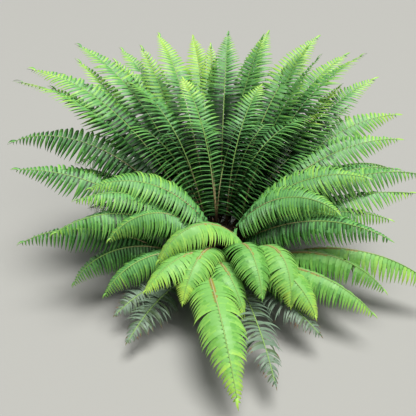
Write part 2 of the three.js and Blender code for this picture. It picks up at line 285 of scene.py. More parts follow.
# Rib colour runs from scaly brown at the foot to green at the tip, by the mesh's own attribute.
ribLook = {
    "attribute": "ribShade",
    "stops": [
        (0.00, (0.018, 0.012, 0.007)),
        (0.16, (0.060, 0.035, 0.018)),
        (0.36, (0.350, 0.245, 0.130)),
        (0.62, (0.400, 0.350, 0.190)),
        (1.00, (0.200, 0.370, 0.085)),
    ],
    "roughness": 0.48,
    "fleckScale": 180,
    "fleckReach": 0.16,  # how far the flecks move the colour along its stops
    "relief": 0.25,
    "reliefDepth": 0.0008,
}


def ribMaterial():
    look = ribLook
    material = newMaterial("ribSkin", look["stops"][-1][1], look["roughness"])
    tree = material.node_tree
    shade = tree.nodes.new("ShaderNodeAttribute")
    shade.attribute_name = look["attribute"]
    place = tree.nodes.new("ShaderNodeTexCoord")
    fleck = addNoise(tree, look["fleckScale"], plainDetail, place, "Object")
    stray = tree.nodes.new("ShaderNodeMath")
    stray.operation = "MULTIPLY_ADD"
    stray.inputs[1].default_value = look["fleckReach"]
    link(tree, fleck, 0, stray, 0)
    link(tree, shade, "Fac", stray, 2)
    level = tree.nodes.new("ShaderNodeMath")
    level.operation = "SUBTRACT"
    level.inputs[1].default_value = look["fleckReach"] / 2
    link(tree, stray, 0, level, 0)
    addColours(tree, look["stops"], level, 0)
    addBump(tree, look["relief"], look["reliefDepth"], fleck, 0)
    return material


# Dark fibrous bark of the old crowns, also worn by the papery scales and the old stalks.
barkLooks = {
    "barkSkin": {"shades": ((0.008, 0.006, 0.004), (0.032, 0.020, 0.011)), "scale": 60, "roughness": 0.92},
    "scaleSkin": {"shades": ((0.014, 0.009, 0.005), (0.056, 0.034, 0.018)), "scale": 140, "roughness": 0.75},
    "stubSkin": {"shades": ((0.030, 0.018, 0.010), (0.150, 0.085, 0.045)), "scale": 90, "roughness": 0.85},
}
fibreLook = {"detail": 6, "levels": (0.32, 0.68), "relief": 0.5, "reliefDepth": 0.003}


def barkMaterial(name):
    look = barkLooks[name]
    material = newMaterial(name, look["shades"][1], look["roughness"])
    tree = material.node_tree
    place = tree.nodes.new("ShaderNodeTexCoord")
    fibres = addNoise(tree, look["scale"], fibreLook["detail"], place, "Object")
    addColours(tree, list(zip(fibreLook["levels"], look["shades"])), fibres, 0)
    addBump(tree, fibreLook["relief"], fibreLook["reliefDepth"], fibres, 0)
    return material


ribSkin = ribMaterial()
barkSkin, scaleSkin, stubSkin = (barkMaterial(name) for name in barkLooks)
print("materials ready")


# Fronds: the same sizes and rule as the solids, in millimetres and degrees.
plant = {
    "rootstockRadius": 220.0,
    "rootstockHeight": 215.0,
    "lobes": 5,
    "lobeDepth": 0.05,
    "sink": 12.0,  # how far a rib's foot is carried into the mound
    "stalkShare": 0.05,
    "ribWidth": (7.5, 2.8),
    "ribDepth": (7.0, 1.4),
    "longestLeaflet": 112.0,
    "leafletShare": 0.19,  # the longest leaflet of a short frond, of the frond's length
    "tipTaper": 0.34,
    "taperPower": 0.85,
    "baseWidth": 0.7,
    "baseTaper": 0.2,
    "forward": (4.0, 54.0),  # how far the leaflets lean towards the tip
    "forwardPower": 2.4,
    "sag": 16.0,  # low leaflets swing down the rib where it climbs
    "leastDroop": 13.0,
    "lift": 0.9,  # share of the droop that a climbing rib loses towards its tip
    "fullLiftClimb": 0.5,  # sine of the climb from which it loses that whole share
    "archPower": 1.6,
    "steepestFall": -86.0,
    "curvePoints": 241,
    "rollRange": 44.0,
    "rollBias": {"left": -20.0, "right": 20.0},  # these lean their blades towards the front
    "biasOnset": 1 / 3,  # share of the length over which that lean sets in
    "groundClearance": 6.0,
    "moundClearance": 6.0,
    "lifts": (0, 8, -8, 16, -16),
    "shortenings": (1, 0.8, 0.6, 0.42),
}

# Each frond: foot azimuth, foot radius, heading, launch, length, arch, sweep, leaflet droop.
fronds = {
    "back": [
        (168, 120, 164, 61, 1150, 60, 2, 14),
        (158, 105, 157, 62, 1190, 62, 3, 14),
        (148, 128, 148, 59, 1100, 52, 3, 14),
        (139, 100, 140, 63, 1190, 52, 4, 12),
        (128, 125, 124, 63, 1120, 48, 5, 12),
        (112, 105, 112, 67, 1130, 48, 3, 12),
        (97, 125, 99, 67, 1120, 48, 2, 12),
        (82, 102, 86, 68, 1110, 47, 0, 12),
        (67, 125, 71, 67, 1170, 50, 0, 12),
        (54, 105, 54, 65, 1190, 52, -4, 12),
        (43, 128, 44, 61, 1160, 50, -4, 12),
        (32, 103, 38, 61, 1170, 52, -4, 14),
        (26, 140, 32, 57, 1080, 46, -4, 14),
    ],
    "heart": [
        [(150, 62, 148, 70, 820, 84, 4, 14), (150, 62, 156, 68, 760, 90, 4, 14),
         (150, 62, 133, 74, 900, 68, 8, 12), (150, 62, 129, 74, 760, 98, 8, 12)],
        [(95, 40, 101, 84, 700, 106, 10, 12), (95, 40, 114, 82, 790, 62, 4, 12),
         (95, 40, 68, 82, 700, 98, -6, 12)],
        [(45, 62, 53, 78, 720, 92, -4, 12), (45, 62, 65, 82, 770, 66, -4, 12),
         (45, 62, 30, 74, 780, 82, -6, 12)],
        [(15, 112, 31, 62, 760, 84, -4, 16), (15, 112, 61, 70, 740, 102, -6, 14),
         (15, 112, 50, 74, 780, 88, -4, 12)],
    ],
    "left": [
        (180, 112, 171, 56, 1080, 84, 0, 24),
        (190, 140, 181, 43, 890, 47, 0, 30),
        (262, 62, 189, 60, 700, 88, 4, 20),
        (205, 104, 203, 57, 670, 74, 4, 38),
        (204, 152, 211, 52, 720, 80, 4, 44),
        (226, 104, 216, 60, 590, 110, 4, 46),
        (234, 204, 190, 45, 830, 76, 0, 40),
        (228, 186, 205, 42, 640, 108, 0, 44),
        (240, 176, 220, 40, 560, 100, 0, 44),
    ],
    "right": [
        (20, 132, 22, 53, 1050, 60, -4, 20),
        (8, 108, 12, 50, 950, 60, -2, 24),
        (355, 132, 4, 49, 850, 66, 0, 30),
        (345, 88, 354, 56, 730, 74, -4, 24),
        (350, 156, 358, 49, 910, 64, 0, 38),
        (330, 80, 338, 60, 620, 98, -6, 26),
        (335, 122, 339, 46, 650, 78, -4, 42),
        (344, 168, 355, 42, 820, 50, 0, 42),
        (337, 148, 350, 39, 720, 62, 0, 40),
        (324, 128, 333, 40, 740, 64, 0, 38),
    ],
    "front": [
        (330, 176, 206, 60, 650, 120, 24, 40),
        (282, 160, 234, 42, 560, 86, -6, 22),
        (276, 140, 250, 44, 520, 114, 0, 22),
        (266, 188, 276, 50, 500, 126, 24, 24),
        (300, 150, 286, 52, 540, 122, -6, 22),
        (318, 178, 314, 52, 580, 134, -48, 22),
        (300, 194, 305, 44, 590, 108, 0, 26),
        (256, 200, 273, 36, 860, 94, 12, 20),
        (315, 204, 318, 31, 680, 68, 0, 38),
        (325, 204, 329, 40, 700, 90, 0, 42),
        (338, 206, 337, 32, 900, 78, 0, 42),
    ],
    "rear": [
        [(24, 172, 30, 62, 850, 44, -4, 20), (24, 172, 38, 64, 920, 40, -4, 20),
         (24, 172, 12, 52, 900, 84, 0, 30), (24, 172, 34, 46, 860, 92, 0, 34),
         (24, 172, 22, 26, 640, 62, 0, 30)],
        [(56, 172, 49, 70, 1040, 36, -3, 16), (56, 172, 34, 72, 970, 34, -3, 16),
         (56, 172, 58, 48, 880, 92, 0, 34), (56, 172, 72, 62, 960, 90, 0, 24),
         (56, 172, 50, 28, 660, 66, 0, 30)],
        [(90, 172, 62, 72, 1050, 34, 0, 16), (90, 172, 93, 72, 1000, 36, 2, 16),
         (90, 172, 82, 48, 880, 94, 0, 34), (90, 172, 102, 50, 860, 92, 0, 34),
         (90, 172, 90, 26, 640, 62, 0, 30)],
        [(124, 172, 122, 70, 1020, 36, 3, 16), (124, 172, 137, 68, 1000, 40, 3, 16),
         (124, 172, 110, 60, 940, 90, 0, 24), (124, 172, 124, 47, 880, 94, 0, 34),
         (124, 172, 130, 28, 660, 66, 0, 30)],
        [(156, 172, 141, 64, 1080, 42, 4, 18), (156, 172, 158, 62, 1010, 46, 4, 18),
         (156, 172, 148, 50, 900, 92, 0, 34), (156, 172, 168, 50, 900, 88, 0, 30),
         (156, 172, 158, 26, 640, 62, 0, 30)],
    ],
    "old": [
        [(238, 212, 228, 24, 470, 50, 0, 10), (238, 212, 244, 20, 540, 46, 0, 10)],
        [(292, 212, 280, 20, 700, 44, 0, 10), (292, 212, 306, 22, 560, 46, 0, 10)],
    ],
}


# A number between 0 and 1 that looks random, by the same rule as in the solids.
chanceRate, chanceGain = 12.9898, 43758.5453


def chance(n):
    x = math.sin(n * chanceRate) * chanceGain
    return x - math.floor(x)


def moundHeight(distance):
    inward = max(0, 1 - (distance / plant["rootstockRadius"]) ** 2)
    return plant["rootstockHeight"] * math.sqrt(inward)


# The direction at a rise above the level and a turn from the X axis, both in radians.
def pointing(rise, turn):
    return np.stack([np.cos(rise) * np.cos(turn), np.cos(rise) * np.sin(turn), np.sin(rise)], -1)


# One rib curve: its place, direction, left side and upper side at any share of its length.
class Frond:
    def __init__(self, tier, row, number):
        names = ("footAzimuth", "footRadius", "heading", "launch", "length", "arch", "sweep", "droop")
        for name, value in zip(names, row):
            setattr(self, name, value)
        self.number = number
        self.roll = math.radians((chance(number) - 0.5) * plant["rollRange"])
        self.rollBias = math.radians(plant["rollBias"].get(tier, 0))
        azimuth = math.radians(self.footAzimuth)
        foot = np.array([self.footRadius * math.cos(azimuth), self.footRadius * math.sin(azimuth),
                         moundHeight(self.footRadius)])
        self.shares = np.linspace(0, 1, plant["curvePoints"])
        middles = (self.shares[1:] + self.shares[:-1]) / 2
        steps = self.direction(middles) * (self.length / len(middles))
        self.places = np.vstack([foot, foot + np.cumsum(steps, axis=0)])

    def bearing(self, share):
        return np.radians(self.heading + self.sweep * share)

    def direction(self, share):
        rise = self.launch - self.arch * share ** plant["archPower"]
        rise = np.radians(np.maximum(plant["steepestFall"], rise))
        return pointing(rise, self.bearing(share))

    def place(self, share):
        return np.stack([np.interp(share, self.shares, self.places[:, k]) for k in range(3)], -1)

    def sides(self, share):
        along, bearing = self.direction(share), self.bearing(share)
        level = np.stack([-np.sin(bearing), np.cos(bearing), np.zeros_like(bearing)], -1)
        above = np.cross(along, level)
        turn = self.roll * share + self.rollBias * fade((0, plant["biasOnset"]), share)
        turn = turn[..., None]
        left = level * np.cos(turn) + above * np.sin(turn)
        return along, left, np.cross(along, left)


# How wide the blade is at a share of its length, as a share of its widest part.
def bladeWidth(v):
    base = plant["baseWidth"] + (1 - plant["baseWidth"]) * v / plant["baseTaper"]
    tip = np.maximum(0, (1 - v) / plant["tipTaper"]) ** plant["taperPower"]
    return np.minimum(1, np.minimum(base, tip))


# Whether a leaflet with its tip here would run into the ground or the mound.
def blocked(tip):
    gap = plant["moundClearance"]
    spread = np.hypot(tip[0], tip[1]) / (plant["rootstockRadius"] * (1 + plant["lobeDepth"]) + gap)
    height = tip[2] / (plant["rootstockHeight"] + gap)
    return tip[2] < plant["groundClearance"] or spread**2 + height**2 < 1


rows = {}
count = 0
for tier, sizes in fronds.items():
    rows[tier] = []
    for size in sizes:
        for each in size if isinstance(size, list) else [size]:
            count += 1
            rows[tier].append(Frond(tier, each, count))
print("fronds laid out:", count)


# What the modelling of the masters shares. Each master is 1 long.
modelling = {
    "near": 1e-3,  # two places closer than this are the same
    "weld": 2e-3,
    "aside": 2.0,  # finished rows of a grid stand clear of the rows still to come
    "leastWidth": 1e-4,
}


# A flat grid along Y, from 0 to 1, and the heights of its rows.
def addGrid(columns, gridRows):
    bpy.ops.mesh.primitive_grid_add(
        x_subdivisions=columns, y_subdivisions=gridRows, size=1, location=(0, 0.5, 0)
    )
    grid = bpy.context.object
    bpy.ops.object.transform_apply(location=True, rotation=True, scale=True)
    return grid, sorted({round(v.co.y, 4) for v in grid.data.vertices})


# Selects one row of a grid, or the part of it on one side of the middle.
def selectRow(mesh, height, side=0):
    near = modelling["near"]
    for vertex in mesh.vertices:
        inRow = abs(vertex.co.y - height) < near
        vertex.select = inRow and (side == 0 or vertex.co.x * side > near)
    for edge in mesh.edges:
        edge.select = all(mesh.vertices[v].select for v in edge.vertices)
    for face in mesh.polygons:
        face.select = all(mesh.vertices[v].select for v in face.vertices)


def moveSelected(offset):
    bpy.ops.object.mode_set(mode="EDIT")
    bpy.ops.transform.translate(value=offset)
    bpy.ops.object.mode_set(mode="OBJECT")


# Ends an edit: all faces are turned outwards, after a weld where one is asked for.
def finishEdit(weld=None):
    bpy.ops.mesh.select_all(action="SELECT")
    if weld:
        bpy.ops.mesh.remove_doubles(threshold=weld)
    bpy.ops.mesh.normals_make_consistent(inside=False)
    bpy.ops.object.mode_set(mode="OBJECT")


# One leaflet, modelled flat: length 1 along Y, width 1 along X, its ear on the +X side.
# A higher bodyPower keeps the leaflet wide for longer before it narrows to its end.
leafletShapes = {
    "narrow": {
        "rows": 11, "rowPower": 1.25, "bodyPower": 1.8, "endPower": 0.95,
        "foot": 0.20, "tooth": 0.09, "ear": 1.15, "heel": 0.66,
    },
    "broad": {
        "rows": 11, "rowPower": 1.15, "bodyPower": 2.2, "endPower": 1.12,
        "foot": 0.90, "tooth": 0.08, "ear": 1.08, "heel": 0.95,
    },
}


def modelLeaflet(look):
    near = modelling["near"]
    leaflet, heights = addGrid(2, look["rows"])
    mesh = leaflet.data
    for number, height in enumerate(heights):
        at = height ** look["rowPower"]
        width = max(modelling["leastWidth"], 1 - at ** look["bodyPower"]) ** look["endPower"]
        if number == 0:
            width = look["foot"]
        elif number % 2:
            width *= 1 - look["tooth"]
        for side in (1, -1):
            reach = width
            if number in (1, 2):  # the ear takes two rows, the heel one
                reach *= look["ear"] if side > 0 else look["heel"] if number == 1 else 1
            selectRow(mesh, height, side)
            moveSelected((side * (reach - 1) / 2, 0, 0))
        selectRow(mesh, height)
        moveSelected((0, at - height + modelling["aside"], 0))
    leaflet.location.y = -modelling["aside"]
    bpy.ops.object.transform_apply(location=True)
    midrib = leaflet.vertex_groups.new(name="midrib")
    inner = [v.index for v in mesh.vertices if abs(v.co.x) < near and near < v.co.y < 1 - near]
    midrib.add(inner, 1.0, "REPLACE")
    swell = leaflet.modifiers.new("swell", "SOLIDIFY")
    swell.thickness = 1.0
    swell.offset = 0
    swell.use_rim = False
    swell.vertex_group = "midrib"
    bpy.ops.object.modifier_apply(modifier="swell")
    bpy.ops.object.mode_set(mode="EDIT")
    finishEdit(modelling["weld"])
    return leaflet


# A straight stalk: length 1 along Y, a keel below and a groove on top.
stalkShape = {"sides": 7, "lengths": 30, "groove": 0.22}


def modelStalk():
    look = stalkShape
    bpy.ops.mesh.primitive_circle_add(vertices=look["sides"], radius=0.5, fill_type="NGON",
                                      rotation=(math.pi / 2, 0, 0))
    stalk = bpy.context.object
    bpy.ops.object.transform_apply(location=True, rotation=True, scale=True)
    mesh = stalk.data
    highest = max(v.co.z for v in mesh.vertices)
    for vertex in mesh.vertices:
        vertex.select = vertex.co.z > highest - modelling["near"]
    bpy.ops.object.mode_set(mode="EDIT")
    bpy.ops.mesh.select_mode(type="VERT")
    bpy.ops.transform.translate(value=(0, 0, -look["groove"]))
    bpy.ops.mesh.select_all(action="SELECT")
    for _ in range(look["lengths"]):
        bpy.ops.mesh.extrude_region_move(TRANSFORM_OT_translate={"value": (0, 1 / look["lengths"], 0)})
    finishEdit()
    return stalk


# A papery scale: length 1 along Y, curled up at its tip.
scaleShape = {"rows": 3, "tipWidth": 0.04, "taperPower": 1.6, "curl": 0.25, "thickness": 0.08}


def modelScale():
    look = scaleShape
    scale, heights = addGrid(1, look["rows"])
    for height in heights:
        selectRow(scale.data, height)
        width = 1 - (1 - look["tipWidth"]) * height ** look["taperPower"]
        bpy.ops.object.mode_set(mode="EDIT")
        bpy.ops.transform.resize(value=(width, 1, 1))
        bpy.ops.object.mode_set(mode="OBJECT")
        moveSelected((0, 0, look["curl"] * height**2))
    wall = scale.modifiers.new("wall", "SOLIDIFY")
    wall.thickness = look["thickness"]
    wall.offset = 0
    bpy.ops.object.modifier_apply(modifier="wall")
    return scale


# A modelled piece as arrays, ready to be copied many times; its object is then removed.
def takeMaster(piece):
    mesh = piece.data
    points = np.array([v.co for v in mesh.vertices])
    faces = [np.array(p.vertices) for p in mesh.polygons]
    master = {
        "points": points,
        "sizes": np.array([len(f) for f in faces]),
        "corners": np.concatenate(faces),
        "mirrored": np.concatenate([f[::-1] for f in faces]),
        "middles": np.array([points[f].mean(axis=0) for f in faces]),
        "normals": np.array([p.normal for p in mesh.polygons]),
    }
    bpy.data.objects.remove(piece)
    return master


leafletMasters = {name: takeMaster(modelLeaflet(look)) for name, look in leafletShapes.items()}
stalkMaster = takeMaster(modelStalk())
scaleMaster = takeMaster(modelScale())
print("masters modelled:", len(leafletMasters["broad"]["sizes"]), "faces a leaflet,",
      len(stalkMaster["sizes"]), "a stalk,", len(scaleMaster["sizes"]), "a scale")

perMetre = 1000  # the lengths below are in millimetres
smoothAngle = 60  # degrees; sharper folds stay sharp


# Copies of masters, gathered into one mesh.
class Pile:
    def __init__(self):
        self.points, self.sizes, self.corners, self.slots, self.values = [], [], [], [], []
        self.total = 0

    def add(self, master, points, slots=0, mirrored=None, values=None):
        copies, per = points.shape[:2]
        starts = self.total + np.arange(copies)[:, None] * per
        corners = np.tile(master["corners"], (copies, 1))
        if mirrored is not None:
            corners[mirrored] = master["mirrored"]
        self.points.append(points.reshape(-1, 3))
        self.sizes.append(np.tile(master["sizes"], copies))
        self.corners.append((corners + starts).reshape(-1))
        self.slots.append(np.broadcast_to(slots, (copies, len(master["sizes"]))).reshape(-1))
        self.values.append(np.zeros(copies * per) if values is None else values.reshape(-1))
        self.total += copies * per

    # The mesh gets only those of the materials that its faces wear.
    def build(self, name, materials, smooth=True, attribute=None):
        points = np.concatenate(self.points) / perMetre
        sizes = np.concatenate(self.sizes).astype(np.int32)
        corners = np.concatenate(self.corners).astype(np.int32)
        mesh = bpy.data.meshes.new(name)
        mesh.vertices.add(len(points))
        mesh.vertices.foreach_set("co", points.astype(np.float32).ravel())
        mesh.loops.add(len(corners))
        mesh.loops.foreach_set("vertex_index", corners)
        mesh.polygons.add(len(sizes))
        starts = np.concatenate([[0], np.cumsum(sizes)[:-1]]).astype(np.int32)
        mesh.polygons.foreach_set("loop_start", starts)
        used, slots = np.unique(np.concatenate(self.slots), return_inverse=True)
        mesh.polygons.foreach_set("material_index", slots.astype(np.int32))
        for number in used:
            mesh.materials.append(materials[number])
        mesh.update(calc_edges=True)
        mesh.validate()
        if attribute:
            layer = mesh.attributes.new(attribute, "FLOAT", "POINT")
            layer.data.foreach_set("value", np.concatenate(self.values).astype(np.float32))
        piece = bpy.data.objects.new(name, mesh)
        bpy.context.collection.objects.link(piece)
        bpy.ops.object.select_all(action="DESELECT")
        piece.select_set(True)
        bpy.context.view_layer.objects.active = piece
        if smooth:
            bpy.ops.object.shade_smooth_by_angle(angle=math.radians(smoothAngle))
        piece.select_set(False)
        print(name, "has", int((sizes - 2).sum()), "triangles")
        return piece


# How each tier looks. Where a value is a pair, it runs from the blade's shaded end to its lit
# end, which are its base and its tip or, under "lit", two distances from the heart.
# tone: counted up the ladder of leaf shades, painted light and shade included; halfShade: how
# much darker, as painted shade, is the half of each leaflet that looks to the frond's foot.
# closure: the leaflets' width, as a share of the step between them. sheen: how far along the
# leaflet the painted sheen reaches. face: how much the leaflets of a climbing rib turn up to the
# sky, all of it within the second distance under "turned".
# spacing: the step between leaflets, against leafletPlan's. fold: how steeply the halves rise
# from the midrib. wear: how ragged the blade is. brown: the share of the rib that is brown.
tiers = {
    "back": {
        "lit": (640, 1030), "turned": (720, 450), "tone": (0.1, 4.0), "halfShade": 1.9,
        "closure": (0.92, 0.95), "sheen": (0.15, 0.65),
        "face": 1.0, "leaflet": "narrow", "spacing": 1.0, "fold": 0.24, "wear": 1.0, "brown": 0.5,
    },
    "heart": {
        "lit": (620, 940), "turned": (850, 620), "tone": (2.2, 3.9), "halfShade": 1.1,
        "closure": (0.60, 0.84), "sheen": (0.6, 0.3),
        "face": 1.0, "leaflet": "narrow", "spacing": 1.4, "fold": 0.24, "wear": 1.0, "brown": 0.4,
    },
    "left": {
        "lit": None, "tone": (2.4, 3.6), "halfShade": 1.3,
        "closure": (0.90, 0.95), "sheen": (0.5, 0.3),
        "face": 0.7, "leaflet": "broad", "spacing": 1.22, "fold": 0.22, "wear": 1.0, "brown": 0.6,
    },
    "right": {
        "lit": None, "tone": (2.6, 3.8), "halfShade": 1.3,
        "closure": (0.90, 0.95), "sheen": (0.5, 0.4),
        "face": 0.7, "leaflet": "broad", "spacing": 1.22, "fold": 0.22, "wear": 1.0, "brown": 0.6,
    },
    "front": {
        "lit": None, "tone": (3.1, 3.9), "halfShade": 0.3,
        "closure": (1.16, 1.08), "sheen": (0.5, 0.2),
        "face": 0.3, "leaflet": "broad", "spacing": 1.12, "fold": 0.10, "wear": 1.0, "brown": 0.7,
    },
    "rear": {
        "lit": (500, 880), "turned": (650, 400), "tone": (0.1, 3.8), "halfShade": 1.9,
        "closure": (0.9, 0.9), "sheen": (0.2, 0.6),
        "face": 0.7, "leaflet": "narrow", "spacing": 1.12, "fold": 0.24, "wear": 1.0, "brown": 0.5,
    },
    "old": {  # its shades are dealt out by oldShades
        "lit": None, "closure": (1.05, 1.05),
        "face": 0.2, "leaflet": "broad", "spacing": 1.0, "fold": 0.16, "wear": 4.0, "brown": 0.2,
    },
}
leafletPlan = {
    "pitchShare": 0.0185,  # of the frond's length
    "pitchTaper": 0.14,
    "startShares": (0.5, 0.98),  # of a pitch; the two sides' leaflets alternate
    "endShare": 0.965,
    "missing": 0.005,
    "widening": 1.12,  # teeth and narrow ends take from the width, so it is laid this much wider
    "widest": 0.41,  # of the leaflet's own length
    "thickness": 0.9,
    "footInset": 0.15,  # the feet start under the rib, this share of its half width from its middle
    "footDepth": 1.5,  # below the rib's middle
    "bowUp": 0.13,
    "bowBack": 0.07,
    "twist": 7.0,
    "turnedZone": (0.68, 0.43),  # shares of the blade, used in place of "turned" where "lit" is None
    "fullTurnClimb": 2 / 3,  # sine of the rib's climb from which the turn is whole
    "litPower": 1.3,
    "strayForward": 2.0,
    "strayDroop": 2.5,
    "strayLength": 0.05,
}


# The leaflets' shares of the blade, v, from its lowest to its tip, and their sides of the rib.
def leafletPlaces(pitchShare, wear, draw):
    plan = leafletPlan
    pairs = int(round((1 - plant["stalkShare"]) / pitchShare))
    shares, sides = [], []
    for side, start in zip((1, -1), plan["startShares"]):
        even = (np.arange(pairs) + start) / pairs * plan["endShare"]
        shares.append(even * (1 + plan["pitchTaper"] * (1 - even)))
        sides.append(np.full(pairs, side))
    v, side = np.concatenate(shares), np.concatenate(sides)
    keep = (v < plan["endShare"]) & (draw.random(len(v)) > plan["missing"] * wear**2)
    return v[keep], side[keep]


# Which leaflets have room, some lifted or shortened, and their lines from foot to tip.
def clearChords(root, along, left, up, side, length, forward, droop):
    kept, chords = [], []
    tries = [(lift, cut) for cut in plant["shortenings"] for lift in plant["lifts"]]
    for i in range(len(side)):
        for lift, cut in tries:
            down = math.radians(droop[i] + lift)
            chord = length[i] * cut * (
                left[i] * side[i] * math.cos(down) * math.cos(forward[i])
                + along[i] * math.cos(down) * math.sin(forward[i])
                - up[i] * math.sin(down)
            )
            if not blocked(root[i] + chord):
                kept.append(i)
                chords.append(chord)
                break
    return kept, np.array(chords)


# Lays the leaflets of one frond on its rib and adds them to the pile.
def addLeaflets(pile, frond, tier, draw):
    plan, look = leafletPlan, tiers[tier]
    pitchShare = plan["pitchShare"] * look["spacing"]
    wear = look["wear"]
    v, side = leafletPlaces(pitchShare, wear, draw)
    share = plant["stalkShare"] + v * (1 - plant["stalkShare"])
    along, left, up = frond.sides(share)
    root = frond.place(share)
    longest = min(plant["longestLeaflet"], plant["leafletShare"] * frond.length)
    length = longest * bladeWidth(v) * (1 - plan["strayLength"] * wear * draw.random(len(v)))
    climb = np.clip(along[:, 2], 0, 1)
    forward = mix(plant["forward"], v ** plant["forwardPower"]) - plant["sag"] * climb * (1 - v)
    forward = np.radians(forward + plan["strayForward"] * wear * draw.standard_normal(len(v)))
    droop = plant["leastDroop"] + frond.droop * np.hypot(along[:, 0], along[:, 1])
    droop = droop * (1 - plant["lift"] * fade((0, plant["fullLiftClimb"]), climb) * v)
    droop = droop + plan["strayDroop"] * wear * draw.standard_normal(len(v))
    kept, chords = clearChords(root, along, left, up, side, length, forward, droop)
    v, side, share, along, left, up, root = (a[kept] for a in (v, side, share, along, left, up, root))
    size = np.linalg.norm(chords, axis=1)
    # Painted light and shade: near the heart, or low on the blade, leaflets take the shaded end of each
    # pair.
    if look["lit"]:
        fromHeart = np.linalg.norm(root, axis=1)
        lit, turned = fade(look["lit"], fromHeart), fade(look["turned"], fromHeart)
    else:
        lit, turned = v ** plan["litPower"], fade(plan["turnedZone"], v)
    pitch = frond.length * pitchShare * (1 + plan["pitchTaper"] * (1 - 2 * v))
    width = pitch * mix(look["closure"], lit) * plan["widening"] * np.cos(forward[kept])
    width = np.minimum(width, size * plan["widest"])
    # The upper face turns to the sky where the rib climbs.
    ahead = unit(chords)
    plane = unit(up - (up * ahead).sum(1, keepdims=True) * ahead)
    sky = unit(np.array([0, 0, 1.0]) - ahead[:, 2:3] * ahead)
    facing = look["face"] * (fade((0, plan["fullTurnClimb"]), along[:, 2]) * turned)[:, None]
    normal = unit(plane * (1 - facing) + sky * facing)
    across = np.cross(ahead, normal) * side[:, None]
    halfRib = mix(plant["ribWidth"], share) / 2
    root = root + left * (side * halfRib * plan["footInset"])[:, None] - up * plan["footDepth"]
    points = layLeaflets(tier, root, chords, size, across, normal, width, draw)
    raised = fade((0, tonePlan["fullyRaised"]), ahead[:, 2])
    slots = leafletSlots(frond, tier, v, lit, raised, draw)
    pile.add(leafletMasters[look["leaflet"]], points, slots, mirrored=side < 0)
    addEndLeaflet(pile, frond, tier, draw)


# The points of leaflets that are folded, bowed and twisted along their lines.
def layLeaflets(tier, root, chords, size, across, normal, width, draw):
    plan, look = leafletPlan, tiers[tier]
    x, y, z = leafletMasters[look["leaflet"]]["points"].T
    arc = 4 * y * (1 - y)  # 1 at the middle, 0 at both ends
    turn = np.radians(plan["twist"] * draw.standard_normal(len(size)))[:, None] * y
    crosswise = x * np.cos(turn) * width[:, None] - arc * plan["bowBack"] * size[:, None]
    upward = (x * np.sin(turn) + np.abs(x) * look["fold"]) * width[:, None]
    upward = upward + z * plan["thickness"] + arc * plan["bowUp"] * size[:, None]
    return (root[:, None] + chords[:, None] * y[None, :, None]
            + across[:, None] * crosswise[..., None] + normal[:, None] * upward[..., None])


# How the shades of the leaves are dealt out, in steps of tone.
tonePlan = {
    "stray": 0.30,
    "dither": 0.12,
    "frond": 1.3,  # from the darkest frond to the lightest
    "youngShare": 0.10,
    "young": 1.0,
    "tip": 1.3,  # from a leaflet's foot to its tip, nothing added at evenAt of its length
    "evenAt": 0.4,
    "end": (0.3, 2.0),  # the ends of the fronds are young and yellowish
    "endZone": (0.74, 0.94),
    "chances": {"frond": 3.7, "young": 5.3, "end": 7.9},  # rates that give each trait its own
    "hollow": 1.1,  # side fronds that lean to the back stand in the shade of the crown
    "fullHollow": 0.4,  # sine of the heading from which the shade is whole
    "raised": {"left": 2.2, "right": 0.3},  # leaflets that stand up let the light through
    "fullyRaised": 0.5,  # sine of a leaflet's climb from which it all comes through
    "sheenTones": (1.3, 3.8),  # between these a face can have the sheen
    "sheenStray": (0.75, 1.15),
    "sheenDither": 0.1,
    "sheenShades": ("leafSheen", "leafPaleSheen"),  # below and above the tone under brightSheen
    "youngSheenShades": ("leafPaleSheen", "leafTenderSheen"),  # the same on the front fronds
    "brightSheen": 2.5,
    "paleUnder": 2.6,
    "footShare": 0.07,  # of a front leaflet's length that is brown
    "footReach": 0.62,  # up to this share of the blade, and less and less surely before it
    "footFade": 0.2,
    "dryTips": 0.02,  # of the leaflets
    "dryFrom": 0.86,
}
oldPlan = {
    "dapple": 0.35,
    "greyShare": 0.7,
    "dryBlade": 0.5,  # dryness gained from the blade's base to its tip
    "dryLeaflet": 0.6,  # and from a leaflet's foot to its tip
    "dryStray": 0.4,
    "dryFrom": 1.15,
}


